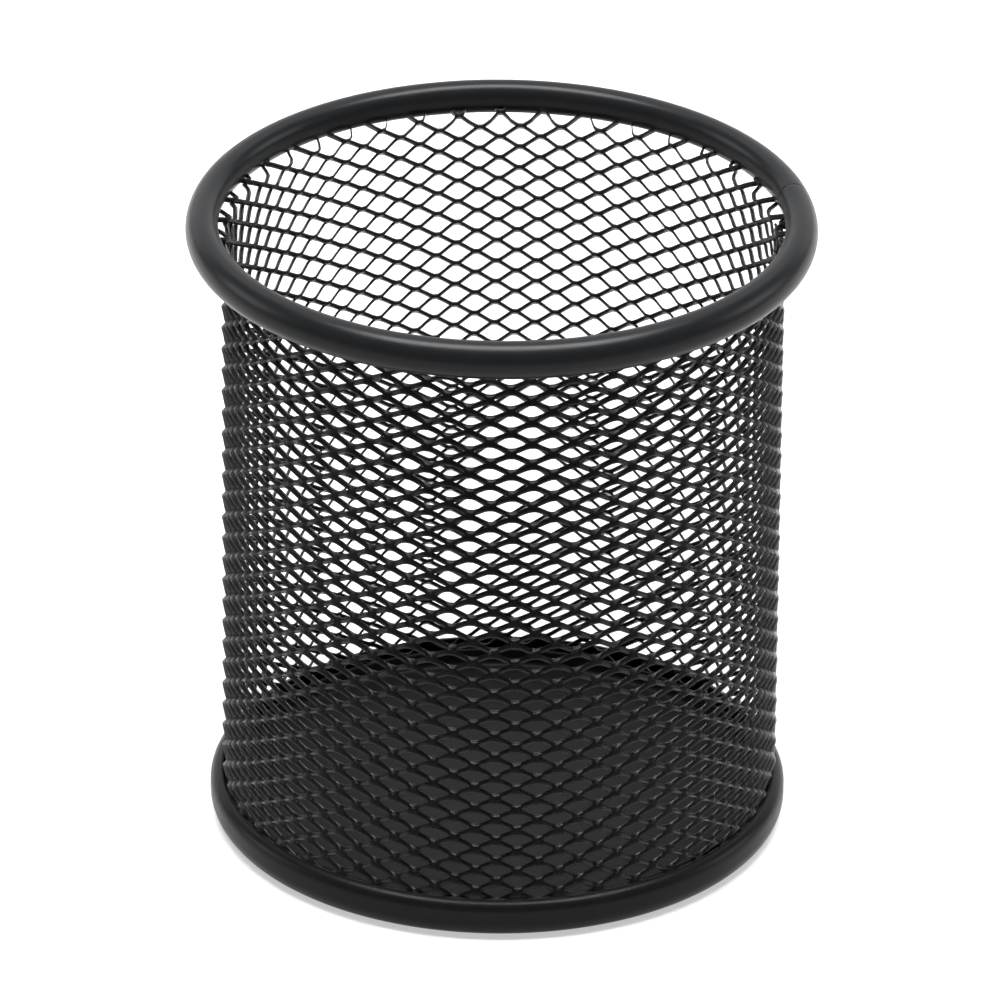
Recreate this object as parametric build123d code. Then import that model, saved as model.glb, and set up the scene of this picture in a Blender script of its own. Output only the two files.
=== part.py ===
from build123d import *
import math
import os

# Pen holder cup, in millimetres. +Z is up and the origin is the middle of the circle it stands on.
# A sheet of expanded steel is rolled into a cylinder and lapped on itself. Its top edge turns outwards
# into the slot of a rolled rim tube. Its bottom edge sits in the channel between a base ring and a
# floor pan.

# Driving dimensions
HEIGHT = 96.3  # table to the top of the rim
MESH_R = 40.3  # outer radius of the rolled mesh, at its corners
RIM_R = 42.9  # middle of the cup to the middle of the rim tube's own section
RIM_SECTION = (2.3, 2.7)  # half width and half height of that section
RIM_LEAN = 20  # degrees that the section's top leans inwards
BASE_R = 41.85  # outer radius of the base ring
BASE_LIP_Z = 5.9  # top edge of the base ring
SHEET = 0.6  # thickness of the rim, base ring and floor pan

# The expanded sheet
DIAMONDS = 42  # openings in one turn
ROW_PITCH = 1.66  # height of half an opening, so each row is half a diamond round from the last
ROWS = 52  # rows of openings, counted in half openings
MESH_T = 0.7  # thickness of the expanded sheet
MESH_BOTTOM_Z = 2.4  # lower edge of the sheet, inside the base channel
SELVAGE = 0.6  # plain strip along the sheet's lower edge
FLARE_Z = (90.35, 92.1)  # the sheet's top edge turns outwards between these heights
FLARE_OUT = 1.75  # and by this much
MESH_TOP_Z = 93.3  # top edge of the sheet, inside the rim tube
KNUCKLE_HALF_WIDTH = 0.55  # each crossing of strands, along the row
KNUCKLE_HALF_HEIGHT = 0.36  # each crossing of strands, up the sheet
LAP_FACETS = 2  # facets of the sheet that lie over its own start, which is one diamond
LAP_GAP = 0.15  # between the two layers of the lap, filled by the spot welds

# The spot welds of the lap
WELD_R = 0.3
WELD_CLEARANCE = 0.01  # left free, so that the weld and the sheets share no volume
WELD_INSET = 0.32  # from the crossing's own corner line to the middle of the weld
WELD_EVERY = 6  # rows from one weld to the next

# The slot and the channel that take the sheet, and the floor pan
SLOT_R = (41.2, 43.1)  # inner and outer radius of the slot under the rim
PAN_R = 38.6  # outer radius of the floor pan's upturned flange
PAN_Z = 1.8  # underside of the floor pan above the table
PAN_FLANGE_Z = 5.0  # top of its flange
PAN_BEND_R = 1.4  # outside radius of the bend between floor and flange
RING_BEND_R = 2.8  # outside radius of the base ring's lower edge
RING_FOOT_R = 36.4  # inner radius of the base ring, where its inner lip carries the pan
RING_FOOT_BEND_R = 1.2  # outside radius of the bend at that lip

FACETS = 2 * DIAMONDS
FACET_TURN = 2 * math.pi / FACETS
FACET_WIDTH = 2 * MESH_R * math.sin(FACET_TURN / 2)
HOLE_HALF_HEIGHT = ROW_PITCH - KNUCKLE_HALF_HEIGHT
HOLE_SLOPE = HOLE_HALF_HEIGHT / (FACET_WIDTH - KNUCKLE_HALF_WIDTH)
ROW_0_Z = MESH_BOTTOM_Z + SELVAGE + KNUCKLE_HALF_HEIGHT
# How far out and how high the sheet's top edge is, from where it starts to turn to its very top
FLARE_STEPS = [(0.0, FLARE_Z[0]), (FLARE_OUT, FLARE_Z[1]), (FLARE_OUT, MESH_TOP_Z)]


def sheet_corners():
    """Where the rolled sheet bends, seen from above: one turn, then the lap a step further out."""
    corners = [(MESH_R, FACET_TURN * k) for k in range(FACETS)]
    lap_r = MESH_R + MESH_T + LAP_GAP
    cosine = (MESH_R**2 + lap_r**2 - FACET_WIDTH**2) / (2 * MESH_R * lap_r)
    angle = corners[-1][1] + math.acos(cosine)
    for _ in range(LAP_FACETS + 1):
        corners.append((lap_r, angle))
        angle += 2 * math.asin(FACET_WIDTH / 2 / lap_r)
    return [Vector(r * math.cos(a), r * math.sin(a), 0) for r, a in corners]


def facet_frames(corners):
    """Each facet's start, its direction along the row, and its outward normal."""
    frames = []
    for start, end in zip(corners, corners[1:]):
        along = (end - start).normalized()
        frames.append((start, along, Vector(along.Y, -along.X, 0)))
    return frames


def corner_setbacks(frames):
    """How far the sheet's inner face stops short of each corner. The two cut ends have none."""
    setbacks = [0.0]
    for (_, before, _), (_, after, _) in zip(frames, frames[1:]):
        turn = math.atan2(before.cross(after).Z, before.dot(after))
        setbacks.append(MESH_T * math.tan(turn / 2))
    return setbacks + [0.0]


class Facet:
    """One flat strip of the sheet, from top to bottom, with half openings cut into both sides."""

    def __init__(self, index, frame, setback_start, setback_end):
        self.index = index
        self.start, self.along, self.normal = frame
        self.setbacks = (setback_start, setback_end)

    def point(self, x, z, inner):
        depth = MESH_T if inner else 0.0
        return self.start + self.along * x - self.normal * depth + Vector(0, 0, z)

    def edge_x(self, side, inner):
        """The facet's own edge: side 0 is where it starts and side 1 is where it ends."""
        setback = self.setbacks[side] if inner else 0.0
        return FACET_WIDTH - setback if side else setback

    def side_with_hole(self, row):
        """Openings sit on every other corner, and the rows alternate."""
        return 0 if (self.index + row) % 2 else 1

    def half_hole(self, row, inner):
        """The three corners of the half opening that this facet has in a row, from low to high."""
        side = self.side_with_hole(row)
        setback = self.setbacks[side] if inner else 0.0
        middle = ROW_0_Z + row * ROW_PITCH
        reach = HOLE_HALF_HEIGHT - HOLE_SLOPE * setback
        tip = FACET_WIDTH - KNUCKLE_HALF_WIDTH
        edge = self.edge_x(side, inner)
        return [
            (edge, middle - reach),
            (FACET_WIDTH - tip if side else tip, middle),
            (edge, middle + reach),
        ]

    def edge_line(self, side, inner):
        """One edge of the facet from the bottom to the top, in and out of its half openings."""
        x = self.edge_x(side, inner)
        line = [(x, MESH_BOTTOM_Z)]
        for row in range(1, ROWS):
            if self.side_with_hole(row) == side:
                line += self.half_hole(row, inner)
        return line + [(x, FLARE_Z[0])]

    def skin(self, inner):
        """The facet's outer or inner face."""
        outline = self.edge_line(0, inner) + self.edge_line(1, inner)[::-1]
        return polygon([self.point(x, z, inner) for x, z in outline])

    def wall(self, a, b):
        """The face through the sheet's thickness between two points (x outer, x inner, z, z inner)."""
        outer = [self.point(x, z, False) for x, _, z, _ in (a, b)]
        inner = [self.point(x, z, True) for _, x, _, z in (b, a)]
        return polygon(outer + inner)

    def hole_walls(self):
        walls = []
        for row in range(1, ROWS):
            pairs = list(zip(self.half_hole(row, False), self.half_hole(row, True)))
            corners = [(xo, xi, zo, zi) for (xo, zo), (xi, zi) in pairs]
            walls += [self.wall(a, b) for a, b in zip(corners, corners[1:])]
        return walls

    def bottom_wall(self):
        x0, x1 = self.edge_x(0, True), self.edge_x(1, True)
        z = MESH_BOTTOM_Z
        return self.wall((0.0, x0, z, z), (FACET_WIDTH, x1, z, z))

    def flare_point(self, step, side, inner):
        push, z = FLARE_STEPS[step]
        outward = (self.start + self.along * (FACET_WIDTH * side)).normalized()
        return self.point(self.edge_x(side, inner), z, inner) + outward * push

    def flare(self):
        """The turned top edge: both skins in triangles, then the edge itself."""
        faces = []
        for step in (0, 1):
            for inner in (False, True):
                low_a, low_b = [self.flare_point(step, side, inner) for side in (0, 1)]
                high_a, high_b = [self.flare_point(step + 1, side, inner) for side in (0, 1)]
                faces += [polygon([low_a, low_b, high_b]), polygon([low_a, high_b, high_a])]
        top = [(0, False), (1, False), (1, True), (0, True)]
        return faces + [polygon([self.flare_point(2, side, inner) for side, inner in top])]

    def cut_walls(self, side):
        """The cut end of the sheet, where it crosses the strands between openings."""
        line = self.edge_line(side, False)
        heights = [z for x, z in line if x == self.edge_x(side, False)]
        x = self.edge_x(side, False)
        spans = zip(heights[::2], heights[1::2])
        walls = [self.wall((x, x, low, low), (x, x, high, high)) for low, high in spans]
        for step in (0, 1):
            ring = [(step, False), (step, True), (step + 1, True), (step + 1, False)]
            walls.append(polygon([self.flare_point(k, side, inner) for k, inner in ring]))
        return walls


def polygon(points):
    return Face(Wire.make_polygon(points, close=True))


def mesh_facets():
    frames = facet_frames(sheet_corners())
    setbacks = corner_setbacks(frames)
    ends = zip(setbacks, setbacks[1:])
    return [Facet(k, frame, a, b) for k, (frame, (a, b)) in enumerate(zip(frames, ends))]


def mesh_wall(facets):
    """The expanded sheet as one solid with every opening cut through."""
    faces = []
    for facet in facets:
        faces += [facet.skin(False), facet.skin(True)]
        faces += facet.hole_walls() + facet.flare() + [facet.bottom_wall()]
    faces += facets[0].cut_walls(0) + facets[-1].cut_walls(1)
    return Solid(Shell(faces))


def seam_spot_welds(facet):
    """Small discs between the layers of the lap, on strand crossings at the first facet's far edge."""
    first_row = 2 if facet.side_with_hole(2) == 0 else 3
    welds = []
    for row in range(first_row, ROWS, WELD_EVERY):
        spot = facet.point(FACET_WIDTH - WELD_INSET, ROW_0_Z + row * ROW_PITCH, False)
        face_out = Plane(spot + facet.normal * WELD_CLEARANCE, z_dir=facet.normal)
        thickness = LAP_GAP - 2 * WELD_CLEARANCE
        welds.append(Solid.make_cylinder(WELD_R, thickness, face_out))
    return Compound(children=welds)


def arc(centre, radius, start, end):
    """An arc about a centre in the radius-height plane, between two angles in degrees."""
    points = []
    for angle in (start, (start + end) / 2, end):
        a = math.radians(angle)
        points.append((centre[0] + radius * math.cos(a), centre[1] + radius * math.sin(a)))
    return ThreePointArc(*points)


def turned(edges):
    """A solid ring from a closed outline in the radius-height plane."""
    section = Plane.XZ * make_face(edges)
    return revolve(section, Axis.Z, 360).solid()


def outline(*pieces):
    """Joins arcs in order, with a straight line wherever one doesn't start where the last ended."""
    edges = []
    for piece, following in zip(pieces, pieces[1:] + pieces[:1]):
        edges.append(piece)
        gap_start, gap_end = piece @ 1, following @ 0
        if (gap_end - gap_start).length > 1e-6:
            edges.append(Line(gap_start, gap_end))
    return edges


def rim_tube():
    """A strip rolled into an oval tube, open below in a slot that takes the mesh."""
    half_width, half_height = RIM_SECTION
    tube = Ellipse(half_width, half_height) - Ellipse(half_width - SHEET, half_height - SHEET)
    slot_width = SLOT_R[1] - SLOT_R[0]
    slot_x = (SLOT_R[0] + SLOT_R[1]) / 2 - RIM_R
    slot = Pos(slot_x, -half_height / 2) * Rectangle(slot_width, half_height)
    lean = math.radians(RIM_LEAN)
    rise = math.hypot(half_height * math.cos(lean), half_width * math.sin(lean))
    section = Pos(RIM_R, HEIGHT - rise) * (Rot(0, 0, RIM_LEAN) * tube - slot)
    return revolve(Plane.XZ * section, Axis.Z, 360).solid()


def base_ring():
    """The outer band with a rounded lower edge, a flat foot to stand on and a lip under the pan."""
    skirt_mid = BASE_R - SHEET / 2
    bend = (BASE_R - RING_BEND_R, RING_BEND_R)
    foot_bend = (RING_FOOT_R + RING_FOOT_BEND_R, RING_FOOT_BEND_R)
    lip_top = Line((RING_FOOT_R, PAN_Z), (RING_FOOT_R + SHEET, PAN_Z))
    return turned(
        outline(
            arc((skirt_mid, BASE_LIP_Z - SHEET / 2), SHEET / 2, 180, 0),
            arc(bend, RING_BEND_R, 0, -90),
            arc(foot_bend, RING_FOOT_BEND_R, 270, 180),
            lip_top,
            arc(foot_bend, RING_FOOT_BEND_R - SHEET, 180, 270),
            arc(bend, RING_BEND_R - SHEET, -90, 0),
        )
    )


def floor_pan():
    """The pressed floor disc, with a flange turned up inside the mesh."""
    bend = (PAN_R - PAN_BEND_R, PAN_Z + PAN_BEND_R)
    flange_mid = PAN_R - SHEET / 2
    axis_side = Line((0, PAN_Z + SHEET), (0, PAN_Z))
    return turned(
        outline(
            axis_side,
            arc(bend, PAN_BEND_R, 270, 360),
            arc((flange_mid, PAN_FLANGE_Z - SHEET / 2), SHEET / 2, 0, 180),
            arc(bend, PAN_BEND_R - SHEET, 360, 270),
        )
    )


def main():
    facets = mesh_facets()
    os.makedirs("parts", exist_ok=True)
    # The mesh has thousands of flat faces, which need no curves in their own coordinates.
    export_step(mesh_wall(facets), "parts/mesh_wall.step", write_pcurves=False)
    export_step(seam_spot_welds(facets[0]), "parts/seam_spot_welds.step")
    export_step(rim_tube(), "parts/rim_tube.step")
    export_step(base_ring(), "parts/base_ring.step")
    export_step(floor_pan(), "parts/floor_pan.step")


main()
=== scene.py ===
"""Looks of the mesh pen holder cup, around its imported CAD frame. Lengths are in mm until placed."""

import math

import bmesh
import bpy
import numpy as np
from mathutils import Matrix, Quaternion, Vector


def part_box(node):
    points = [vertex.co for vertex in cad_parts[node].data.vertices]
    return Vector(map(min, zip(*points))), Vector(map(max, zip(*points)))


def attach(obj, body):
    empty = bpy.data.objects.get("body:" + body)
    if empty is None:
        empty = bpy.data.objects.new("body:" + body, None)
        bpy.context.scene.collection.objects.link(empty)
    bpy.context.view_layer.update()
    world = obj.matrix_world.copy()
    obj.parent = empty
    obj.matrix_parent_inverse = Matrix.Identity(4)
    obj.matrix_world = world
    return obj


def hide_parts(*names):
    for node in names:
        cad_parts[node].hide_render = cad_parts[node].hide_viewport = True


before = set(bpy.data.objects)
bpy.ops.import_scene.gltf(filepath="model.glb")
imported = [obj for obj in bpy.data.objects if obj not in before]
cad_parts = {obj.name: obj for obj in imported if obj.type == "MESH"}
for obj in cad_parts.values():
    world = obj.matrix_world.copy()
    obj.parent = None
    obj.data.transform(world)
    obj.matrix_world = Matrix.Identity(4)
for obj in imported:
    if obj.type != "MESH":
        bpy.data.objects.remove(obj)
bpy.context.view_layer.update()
MM = 0.001


def size_of(node):
    """Outer radius, lowest and highest point of a CAD node, in mm."""
    low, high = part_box(node)
    return max(high.x, high.y) / MM, low.z / MM, high.z / MM


RIM_OUTER_R, RIM_BOTTOM_Z, RIM_TOP_Z = size_of("rim_tube")
BASE_OUTER_R, BASE_FOOT_Z, BASE_LIP_Z = size_of("base_ring")
PAN_OUTER_R, PAN_UNDER_Z, PAN_FLANGE_Z = size_of("floor_pan")
SHEET = 0.6  # thickness of the rim, base ring and floor pan

# The expanded sheet, as a lattice of bonds joined by slanting strands
MESH_MID_R = 39.48  # middle of the tilted strands
DIAMONDS_PER_TURN = 41.62
SHEET_DIAMONDS = 43  # the last ones lie over the first ones as the lap
ROW_STEP = 1.68  # height of half an opening
ROW_FALL = 0.235  # the rows sink by this much with each diamond round
ROW_LEAN = -0.00085  # radians that each row is turned against the one below
START_TURN = 0.0396  # radians from +X to the sheet's inner cut end
FIRST_ROW_Z = 2.22
MESH_FIRST_Z = 3.4  # lowest and highest bonds that there are
MESH_LAST_Z = RIM_BOTTOM_Z + 3.2
FLARE_Z = (RIM_BOTTOM_Z + 0.3, RIM_BOTTOM_Z + 1.9)  # the top turns outwards between these heights
FLARE_OUT = 2.2  # by this much, so that it ends inside the rim tube
FLARE_TILT = math.radians(34)  # and there the strands are pressed flatter
SPLIT_ROW = 31  # rows of the lower of the two mesh pieces

STRAND_W = 0.83  # width of a strand before it tilts
STRAND_T = 0.39
STRAND_TILT = math.radians(46)  # each strand's upper edge leans in by this much
BOND_HALF_LENGTH = 0.55
BOND_SHOULDER = 0.36  # where the strands leave the bond's upper and lower edges
EDGE_ROUND = 0.1  # how far the coated edges are rounded off
STRAND_EASE = 0.25  # how much a strand curves where it leaves a bond
STRAND_SECTIONS = 3  # six-sided sections between a strand's two ends
BOND_CORNERS = 8
BOND_POINTS = 3 * BOND_CORNERS + 2  # front, middle and back outlines and the two centres

# The lap, where both layers are pressed flatter
LAP_TILT = math.radians(15)
LAP_STEP_OUT = 0.85
LAP_HALF_STEPS = 2.6
LAP_FADE = 2.6
WELD_ROWS = range(9, 62, 6)
WELD_R = 0.42
WELD_RISE = 0.1
WELD_SIDES = 20

# The rim tube's oval section and the base parts. The CAD has all but the joint and the curled lip.
RIM_SECTION = (2.3, 2.7)
RIM_LEAN = math.radians(20)
RIM_SLOT_R = (41.2, 43.1)
RIM_JOINT_TURN = 0.21  # radians from +X to the butt joint of the rolled strip
RIM_JOINT_DEPTH = 0.03
RING_BEND_R = 2.8
RING_LIP_R = 1.8  # the band's upper edge curls in towards the mesh
RING_FOOT_R = 36.4
RING_FOOT_BEND_R = 1.2
PAN_BEND_R = 1.4


def smooth(x, low, high):
    t = np.clip((x - low) / (high - low), 0.0, 1.0)
    return t * t * (3 - 2 * t)


# ---------------------------------------------------------------- mesh helpers


def merge_doubles(mesh):
    """Joins points that fall together, such as those on the axis of a turned part."""
    work = bmesh.new()
    work.from_mesh(mesh)
    bmesh.ops.remove_doubles(work, verts=work.verts, dist=1e-7)
    work.to_mesh(mesh)
    work.free()


def new_piece(name, points_mm, faces, material):
    """A smooth-shaded mesh that rides on the cup and has its finish."""
    mesh = bpy.data.meshes.new(name)
    mesh.from_pydata((np.asarray(points_mm) * MM).tolist(), [], faces)
    mesh.polygons.foreach_set("use_smooth", [True] * len(mesh.polygons))
    mesh.materials.append(material)
    merge_doubles(mesh)
    piece = bpy.data.objects.new(name, mesh)
    bpy.context.scene.collection.objects.link(piece)
    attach(piece, "root")
    return piece


# ---------------------------------------------------------------- the expanded sheet


def sheet_point(steps, row, along, across, depth):
    """A point of the rolled sheet. Steps are half diamonds round, and the last three are mm."""
    last = 2 * SHEET_DIAMONDS
    at_start = 1 - smooth(steps, LAP_HALF_STEPS, LAP_HALF_STEPS + LAP_FADE)
    at_end = smooth(steps, last - LAP_HALF_STEPS - LAP_FADE, last - LAP_HALF_STEPS)
    level = FIRST_ROW_Z + row * ROW_STEP - steps * ROW_FALL / 2
    flared = smooth(level, *FLARE_Z)
    tilt = STRAND_TILT + (LAP_TILT - STRAND_TILT) * (at_start + at_end)
    tilt = tilt + (np.minimum(tilt, FLARE_TILT) - tilt) * flared
    radius = MESH_MID_R + LAP_STEP_OUT * at_end + FLARE_OUT * flared
    turn = START_TURN + steps * math.pi / DIAMONDS_PER_TURN + row * ROW_LEAN + along / MESH_MID_R
    r = radius - across * np.sin(tilt) + depth * np.cos(tilt)
    z = level + across * np.cos(tilt) + depth * np.sin(tilt)
    return np.stack([r * np.cos(turn), r * np.sin(turn), z], axis=-1)


def bond_outline():
    """A bond's corners along the row and across it, anticlockwise from its left tip."""
    long, short, w = BOND_HALF_LENGTH, BOND_SHOULDER, STRAND_W
    return np.array(
        [(-long, 0), (-short, -w), (0, -w), (short, -w), (long, 0), (short, w), (0, w), (-short, w)]
    )


def bond_template():
    """Front, middle and back outlines of a bond, then its front and back centres."""
    outline = bond_outline()
    inset = outline * (1 - EDGE_ROUND / STRAND_W)
    half = STRAND_T / 2
    layers = [(inset, half), (outline, 0.0), (inset, -half)]
    points = [(x, y, depth) for ring, depth in layers for x, y in ring]
    return np.array(points + [(0, 0, half), (0, 0, -half)])


def lattice():
    """Steps and rows of every bond, and the number of the bond at each step and row."""
    rows = int((MESH_LAST_Z - FIRST_ROW_Z + SHEET_DIAMONDS * ROW_FALL) / ROW_STEP) + 2
    steps, row = np.meshgrid(np.arange(2 * SHEET_DIAMONDS + 1), np.arange(rows), indexing="ij")
    level = FIRST_ROW_Z + row * ROW_STEP - steps * ROW_FALL / 2
    there = ((steps + row) % 2 == 0) & (level > MESH_FIRST_Z) & (level < MESH_LAST_Z)
    number = np.full(there.shape, -1)
    number[there] = np.arange(there.sum())
    return steps[there], row[there], number


def section_loop(corner_a, corner_b):
    """The six vertices of a strand's end on a bond: front, front, middle, back, back, middle."""
    middle, back = BOND_CORNERS, 2 * BOND_CORNERS
    return [corner_a, corner_b, middle + corner_b, back + corner_b, back + corner_a, middle + corner_a]


def tube_faces(start, end):
    """Quads that join two arrays of six-sided sections."""
    faces = []
    for k in range(6):
        n = (k + 1) % 6
        faces.append(np.stack([start[:, k], end[:, k], end[:, n], start[:, n]], axis=-1))
    return np.concatenate(faces)


def strands(values, steps, row, number, rise, leaves, arrives):
    """The strands that climb or sink by one row, as new vertex values and faces with their rows."""
    rows = number.shape[1]
    target_row = row + rise
    inside = (steps < 2 * SHEET_DIAMONDS) & (target_row >= 0) & (target_row < rows)
    bonds = np.flatnonzero(inside)
    other = number[steps[bonds] + 1, target_row[bonds]]
    bonds, other = bonds[other >= 0], other[other >= 0]
    start = bonds[:, None] * BOND_POINTS + np.array(leaves)
    end = other[:, None] * BOND_POINTS + np.array(arrives)
    sections = [start]
    added = []
    for k in range(1, STRAND_SECTIONS + 1):
        t = k / (STRAND_SECTIONS + 1)
        between = values[start] * (1 - t) + values[end] * t
        eased = t + STRAND_EASE * (t * t * (3 - 2 * t) - t)
        between[..., 1] = values[start][..., 1] * (1 - eased) + values[end][..., 1] * eased
        first = len(values) + sum(len(a) for a in added)
        added.append(between.reshape(-1, 5))
        sections.append(first + np.arange(between.shape[0] * 6).reshape(-1, 6))
    sections.append(end)
    faces = np.concatenate([tube_faces(a, b) for a, b in zip(sections, sections[1:])])
    face_rows = np.tile(row[bonds], 6 * (STRAND_SECTIONS + 1))
    return np.concatenate([values] + added), faces, face_rows, bonds, other


def bond_faces(count):
    """Front and back fans and the upper and lower edges of every bond."""
    middle, back = BOND_CORNERS, 2 * BOND_CORNERS
    front_centre, back_centre = BOND_POINTS - 2, BOND_POINTS - 1
    ring = [(k, (k + 1) % BOND_CORNERS) for k in range(BOND_CORNERS)]
    fans = [(front_centre, a, b) for a, b in ring]
    fans += [(back_centre, back + b, back + a) for a, b in ring]
    edges = []
    for a, b in ((1, 2), (2, 3), (5, 6), (6, 7)):
        edges += [(b, a, middle + a, middle + b), (middle + b, middle + a, back + a, back + b)]
    first = (np.arange(count) * BOND_POINTS)[:, None, None]
    return (first + np.array(fans)).reshape(-1, 3), (first + np.array(edges)).reshape(-1, 4)


def cut_ends(count, joined, loop):
    """Six-sided caps on bonds whose strand on that side was cut away."""
    free = np.setdiff1d(np.arange(count), joined)
    return free[:, None] * BOND_POINTS + np.array(loop)


def expanded_sheet():
    """Points and faces of the whole sheet, with the row that each face belongs to."""
    steps, row, number = lattice()
    count = len(steps)
    template = bond_template()
    values = np.zeros((count, BOND_POINTS, 5))
    values[:, :, 0] = steps[:, None]
    values[:, :, 1] = row[:, None]
    values[:, :, 2:] = template[None]
    values = values.reshape(-1, 5)
    right_up, right_down = section_loop(4, 5), section_loop(3, 4)
    left_low, left_high = section_loop(1, 0), section_loop(0, 7)
    values, up, up_rows, up_from, up_to = strands(values, steps, row, number, 1, right_up, left_low)
    values, down, down_rows, down_from, down_to = strands(
        values, steps, row, number, -1, right_down, left_high
    )
    fans, edges = bond_faces(count)
    caps = [
        cut_ends(count, up_from, right_up),
        cut_ends(count, up_to, left_low[::-1]),
        cut_ends(count, down_from, right_down),
        cut_ends(count, down_to, left_high[::-1]),
    ]
    groups = [(up, up_rows), (down, down_rows)]
    groups += [(part, np.repeat(row, len(part) // count)) for part in (fans, edges)]
    groups += [(cap, row[cap[:, 0] // BOND_POINTS]) for cap in caps]
    return sheet_point(*values.T), groups


def mesh_wall(material):
    """The sheet in a lower and an upper piece."""
    points, groups = expanded_sheet()
    for name, is_upper in (("mesh_wall_lower", False), ("mesh_wall_upper", True)):
        chosen = [faces[(rows >= SPLIT_ROW) == is_upper] for faces, rows in groups]
        used = np.unique(np.concatenate([faces.ravel() for faces in chosen]))
        renumber = np.zeros(len(points), int)
        renumber[used] = np.arange(len(used))
        faces = [face for group in chosen for face in renumber[group].tolist()]
        new_piece(name, points[used], faces, material)
    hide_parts("mesh_wall")


def weld_spots(material):
    """Flat domes pressed into the lap's outer layer, on every sixth row of bonds."""
    rings = [(1.0, -0.3), (0.8, 0.55), (0.45, 0.9)]  # how wide and how high, of the whole dome
    sides = WELD_SIDES
    angles = even_turns(sides)
    steps = 2 * SHEET_DIAMONDS - 1
    points, faces = [], []
    for row in WELD_ROWS:
        first = len(points)
        for spread, rise in rings:
            along = WELD_R * spread * np.cos(angles)
            across = WELD_R * spread * np.sin(angles)
            depth = STRAND_T / 2 + WELD_RISE * rise
            points += sheet_point(steps, row, along, across, depth).tolist()
        points.append(sheet_point(steps, row, 0.0, 0.0, STRAND_T / 2 + WELD_RISE).tolist())
        for level in range(len(rings) - 1):
            for k in range(sides):
                a = first + level * sides + k
                b = first + level * sides + (k + 1) % sides
                faces.append((a, b, b + sides, a + sides))
        top = first + (len(rings) - 1) * sides
        peak = top + sides
        faces += [(top + k, top + (k + 1) % sides, peak) for k in range(sides)]
    piece = new_piece("weld_spots", points, faces, material)
    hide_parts("seam_spot_welds")


# ---------------------------------------------------------------- turned sheet parts


def arc(centre, radius, start, end, count):
    """Points along an arc in the radius-height plane, between two angles in degrees."""
    angles = np.radians(np.linspace(start, end, count))
    return [(centre[0] + radius * math.cos(a), centre[1] + radius * math.sin(a)) for a in angles]


def turned(name, profile, turns, press, material):
    """A closed profile turned about the cup's axis. Press moves a point in by a depth at each turn."""
    profile = np.array(profile)
    middle = profile.mean(axis=0)
    rings = []
    for turn in turns:
        section = profile + (middle - profile) * press(turn)
        r, z = section.T
        rings.append(np.stack([r * math.cos(turn), r * math.sin(turn), z], axis=-1))
    count = len(profile)
    faces = []
    for i in range(len(turns)):
        j = (i + 1) % len(turns)
        for k in range(count):
            n = (k + 1) % count
            faces.append((i * count + k, j * count + k, j * count + n, i * count + n))
    return new_piece(name, np.concatenate(rings), faces, material)


def no_press(turn):
    return 0.0


def even_turns(count):
    return np.arange(count) * 2 * math.pi / count


def rim_turns():
    """Even steps round the rim, with finer ones across its butt joint."""
    fine = RIM_JOINT_TURN + np.linspace(-0.016, 0.016, 17)
    even = even_turns(480)
    even = even[np.abs(even - RIM_JOINT_TURN) > 0.017]
    return np.sort(np.concatenate([even, fine]))


def rim_press(turn):
    """The shallow groove of the butt joint."""
    off = (turn - RIM_JOINT_TURN) / 0.005
    return RIM_JOINT_DEPTH * math.exp(-off * off)


def rim_wall(middle, inset, count):
    """One side of the leaning oval strip, from the slot's outer edge over the top to its inner edge."""
    angles = np.linspace(-math.pi / 2, 3 * math.pi / 2, count) - RIM_LEAN
    x = (RIM_SECTION[0] - inset) * np.cos(angles)
    y = (RIM_SECTION[1] - inset) * np.sin(angles)
    c, s = math.cos(RIM_LEAN), math.sin(RIM_LEAN)
    r, z = middle[0] + x * c - y * s, middle[1] + x * s + y * c
    in_slot = (r > RIM_SLOT_R[0]) & (r < RIM_SLOT_R[1]) & (z < middle[1])
    return np.stack([r, z], axis=-1)[~in_slot]


def rim_tube(material):
    """The rolled tube, open below in the slot that takes the sheet."""
    half_width, half_height = RIM_SECTION
    c, s = math.cos(RIM_LEAN), math.sin(RIM_LEAN)
    reach = math.hypot(half_width * c, half_height * s)
    rise = math.hypot(half_height * c, half_width * s)
    middle = (RIM_OUTER_R - reach, RIM_TOP_Z - rise)
    profile = np.concatenate([rim_wall(middle, 0, 121), rim_wall(middle, SHEET, 61)[::-1]])
    piece = turned("rim_roll", profile, rim_turns(), rim_press, material)
    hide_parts("rim_tube")


def base_ring(material):
    """The outer band with its curled upper edge, rounded lower edge, flat foot and inner lip."""
    curl = (BASE_OUTER_R - RING_LIP_R, BASE_LIP_Z - RING_LIP_R)
    bend = (BASE_OUTER_R - RING_BEND_R, RING_BEND_R)
    foot = (RING_FOOT_R + RING_FOOT_BEND_R, RING_FOOT_BEND_R)
    lip_z = PAN_UNDER_Z
    profile = arc(curl, RING_LIP_R, 90, 0, 10)
    profile += arc(bend, RING_BEND_R, 0, -90, 14)
    profile += arc(foot, RING_FOOT_BEND_R, 270, 180, 8)
    profile += [(RING_FOOT_R, lip_z), (RING_FOOT_R + SHEET, lip_z)]
    profile += arc(foot, RING_FOOT_BEND_R - SHEET, 180, 270, 6)
    profile += arc(bend, RING_BEND_R - SHEET, -90, 0, 10)
    profile += arc(curl, RING_LIP_R - SHEET, 0, 90, 8)
    piece = turned("base_band", profile[::-1], even_turns(384), no_press, material)
    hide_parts("base_ring")


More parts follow.
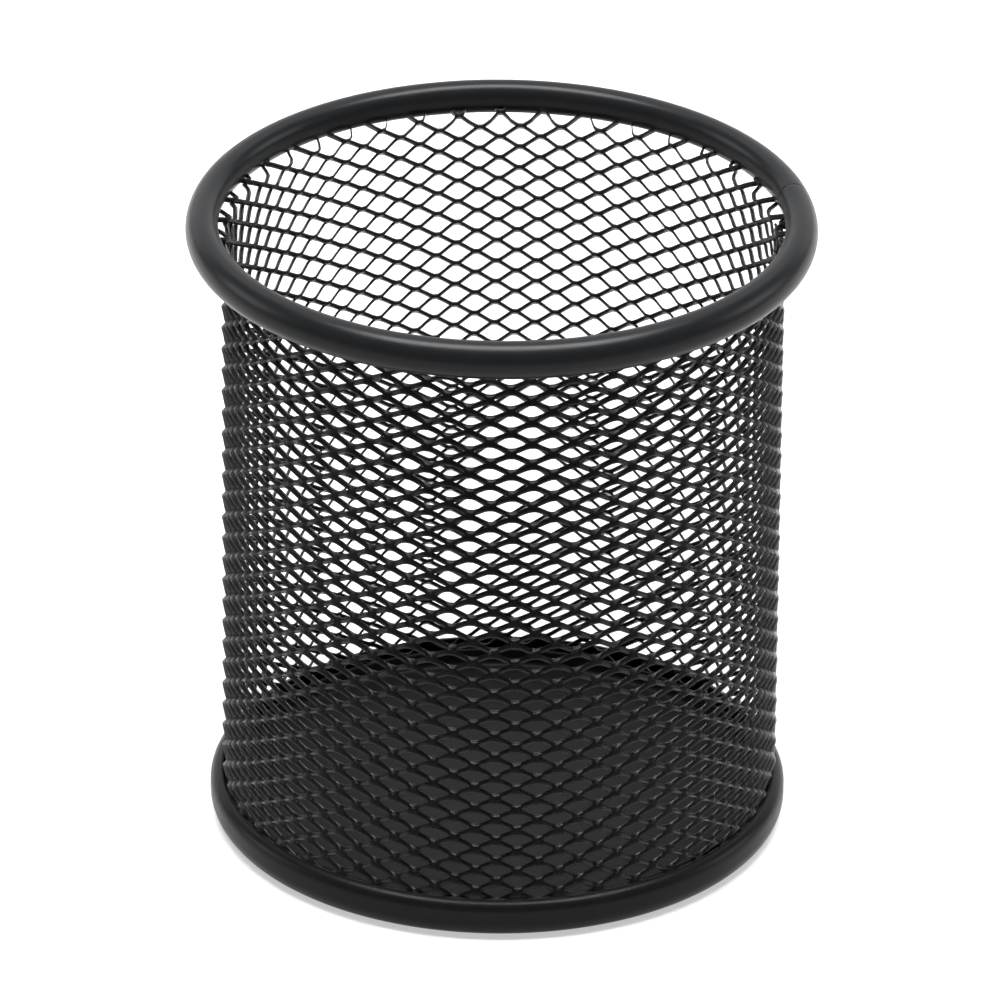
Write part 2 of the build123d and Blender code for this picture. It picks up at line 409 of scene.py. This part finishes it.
def floor_pan(material):
    """The pressed floor with its upturned flange."""
    bend = (PAN_OUTER_R - PAN_BEND_R, PAN_UNDER_Z + PAN_BEND_R)
    flange = PAN_OUTER_R - SHEET / 2
    profile = [(0.0, PAN_UNDER_Z + SHEET), (0.0, PAN_UNDER_Z)]
    profile += arc(bend, PAN_BEND_R, 270, 360, 9)
    profile += arc((flange, PAN_FLANGE_Z - SHEET / 2), SHEET / 2, 0, 180, 9)
    profile += arc(bend, PAN_BEND_R - SHEET, 360, 270, 7)
    piece = turned("floor_dish", profile, even_turns(256), no_press, material)
    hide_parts("floor_pan")


# ---------------------------------------------------------------- materials


def coat(name, dark, light, rough, grain, grain_depth, coat_gloss):
    """Black powder coat: slow changes of tone and sheen, and the coat's fine orange peel.

    Dark and light are the colours between which the tone drifts, rough is the range of roughness,
    grain and grain_depth are the orange peel's noise scale and depth in mm, and coat_gloss is the
    specular level.
    """
    material = bpy.data.materials.new(name)
    material.use_nodes = True
    nodes, links = material.node_tree.nodes, material.node_tree.links
    shader = nodes["Principled BSDF"]
    where = nodes.new("ShaderNodeTexCoord")

    def noise(scale, detail):
        node = nodes.new("ShaderNodeTexNoise")
        node.inputs["Scale"].default_value = scale
        node.inputs["Detail"].default_value = detail
        links.new(where.outputs["Object"], node.inputs["Vector"])
        return node.outputs["Fac"]

    tone = nodes.new("ShaderNodeMix")
    tone.data_type = "RGBA"
    tone.inputs["A"].default_value = (*dark, 1)
    tone.inputs["B"].default_value = (*light, 1)
    links.new(noise(160, 3), tone.inputs["Factor"])
    links.new(tone.outputs["Result"], shader.inputs["Base Color"])
    sheen = nodes.new("ShaderNodeMapRange")
    sheen.inputs["From Min"].default_value = 0.3
    sheen.inputs["From Max"].default_value = 0.7
    sheen.inputs["To Min"].default_value = rough[0]
    sheen.inputs["To Max"].default_value = rough[1]
    links.new(noise(420, 2), sheen.inputs["Value"])
    links.new(sheen.outputs["Result"], shader.inputs["Roughness"])
    bump = nodes.new("ShaderNodeBump")
    bump.inputs["Strength"].default_value = 0.35
    bump.inputs["Distance"].default_value = grain_depth * MM
    links.new(noise(grain, 3), bump.inputs["Height"])
    links.new(bump.outputs["Normal"], shader.inputs["Normal"])
    shader.inputs["Specular IOR Level"].default_value = coat_gloss
    return material


def floor_material():
    """Plain pale table, lit a little from within, with the faintest unevenness."""
    material = bpy.data.materials.new("pale_table")
    material.use_nodes = True
    nodes, links = material.node_tree.nodes, material.node_tree.links
    shader = nodes["Principled BSDF"]
    noise = nodes.new("ShaderNodeTexNoise")
    noise.inputs["Scale"].default_value = 3
    tone = nodes.new("ShaderNodeMix")
    tone.data_type = "RGBA"
    tone.inputs["A"].default_value = (0.47, 0.47, 0.465, 1)
    tone.inputs["B"].default_value = (0.49, 0.49, 0.486, 1)
    links.new(noise.outputs["Fac"], tone.inputs["Factor"])
    links.new(tone.outputs["Result"], shader.inputs["Base Color"])
    shader.inputs["Roughness"].default_value = 0.9
    shader.inputs["Specular IOR Level"].default_value = 0.0
    shader.inputs["Emission Color"].default_value = (1, 1, 0.99, 1)
    shader.inputs["Emission Strength"].default_value = 0.5
    return material


# ---------------------------------------------------------------- stage, light and camera


def stage():
    mesh = bpy.data.meshes.new("floor")
    half = 3.0
    corners = [(-half, -half, 0), (half, -half, 0), (half, half, 0), (-half, half, 0)]
    mesh.from_pydata(corners, [], [(0, 1, 2, 3)])
    mesh.materials.append(floor_material())
    floor = bpy.data.objects.new("floor", mesh)
    bpy.context.scene.collection.objects.link(floor)


def soft_light(name, place, aim, width, height, power):
    light = bpy.data.lights.new(name, "AREA")
    light.shape = "RECTANGLE"
    light.size = width
    light.size_y = height
    light.energy = power
    lamp = bpy.data.objects.new(name, light)
    lamp.location = place
    lamp.rotation_euler = (Vector(aim) - Vector(place)).to_track_quat("-Z", "Y").to_euler()
    bpy.context.scene.collection.objects.link(lamp)


def lights():
    """A long soft box overhead, dimmer ones behind and at the sides, a pale panel and a dim room."""
    cup = (0, 0, 0.05)
    soft_light("overhead_box", (0, 0, 1.35), cup, 1.2, 0.55, 44)
    soft_light("rear_box", (0, 0.95, 1.2), cup, 1.8, 0.7, 6)
    soft_light("rear_panel", (0, 3.0, 0.95), cup, 6.0, 1.7, 32)
    for name, side in (("left_box", -1), ("right_box", 1)):
        soft_light(name, (2.2 * side, 0.5, 0.8), cup, 1.0, 0.8, 9)
    world = bpy.data.worlds.new("room")
    world.use_nodes = True
    world.node_tree.nodes["Background"].inputs["Color"].default_value = (1, 1, 1, 1)
    world.node_tree.nodes["Background"].inputs["Strength"].default_value = 0.12
    bpy.context.scene.world = world


def camera():
    """The photograph's viewing angle: from the front, 28.6 degrees above level, from far away."""
    mesh_r = 40.3 * MM  # distances are in radii of the mesh
    lift = math.radians(28.581)
    away = 47 * mesh_r
    target = Vector((0.0036 * mesh_r, 0, 1.2267 * mesh_r))
    place = Vector((0, -away * math.cos(lift), away * math.sin(lift)))
    data = bpy.data.cameras.new("photo_view")
    data.lens = 465.6
    data.sensor_width = 36
    data.clip_end = 20
    view = bpy.data.objects.new("photo_view", data)
    view.location = place
    aim = (target - place).to_track_quat("-Z", "Y")
    roll_axis = aim @ Vector((0, 0, 1))
    view.rotation_mode = "QUATERNION"
    view.rotation_quaternion = Quaternion(roll_axis, math.radians(0.478)) @ aim
    bpy.context.scene.collection.objects.link(view)
    bpy.context.scene.camera = view


mesh_coat = coat(
    "mesh_coat", (0.007, 0.0072, 0.0076), (0.012, 0.0122, 0.0126), (0.26, 0.34), 2600, 0.02, 0.21
)
rim_coat = coat(
    "rim_coat", (0.0075, 0.008, 0.009), (0.0095, 0.01, 0.0113), (0.28, 0.32), 2200, 0.008, 0.15
)
# The base band has the same black powder coat as the rim, set darker as painted shade on the cup's low
# band.
base_coat = coat(
    "base_coat", (0.006, 0.0064, 0.0069), (0.008, 0.0084, 0.0089), (0.3, 0.36), 2200, 0.01, 0.11
)
# The floor pan has the same black powder coat, set darker than the rim's and the mesh's as painted
# shade on the cup's floor under the mesh wall.
floor_shaded_coat = coat(
    "floor_shaded_coat", (0.006, 0.0062, 0.0064), (0.009, 0.0092, 0.0095), (0.45, 0.55), 2200, 0.012, 0.1
)
mesh_wall(mesh_coat)
weld_spots(mesh_coat)
rim_tube(rim_coat)
base_ring(base_coat)
floor_pan(floor_shaded_coat)
stage()
lights()
camera()
bpy.context.scene.view_settings.view_transform = "Standard"
